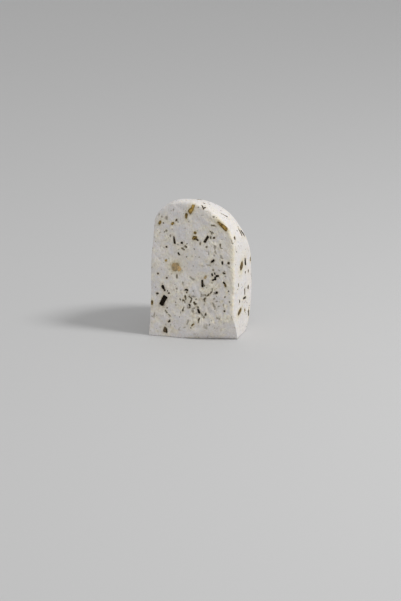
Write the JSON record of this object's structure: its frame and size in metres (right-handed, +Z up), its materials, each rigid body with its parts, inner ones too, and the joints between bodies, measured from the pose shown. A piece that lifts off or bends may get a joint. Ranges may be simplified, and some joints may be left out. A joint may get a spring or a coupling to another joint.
{
  "type": "herb cheese",
  "caption": "Half of a small round white cheese with bedded herb flakes, cut flat at the front and under, standing upright to be sliced or served.",
  "frame": {"origin": "middle of the bounding box at the flat base it stands on", "axes": "+Z up, -Y out of the upright cut face, X along the wheel's own axis, from one flat face of the wheel to the other"},
  "size_m": [0.074, 0.0838, 0.1141],
  "materials": {
    "cheese": "moist matt white cheese with dark and olive herb flakes"
  },
  "bodies": {
    "root": {"herb_cheese": "cheese"}
  },
  "joints": []
}
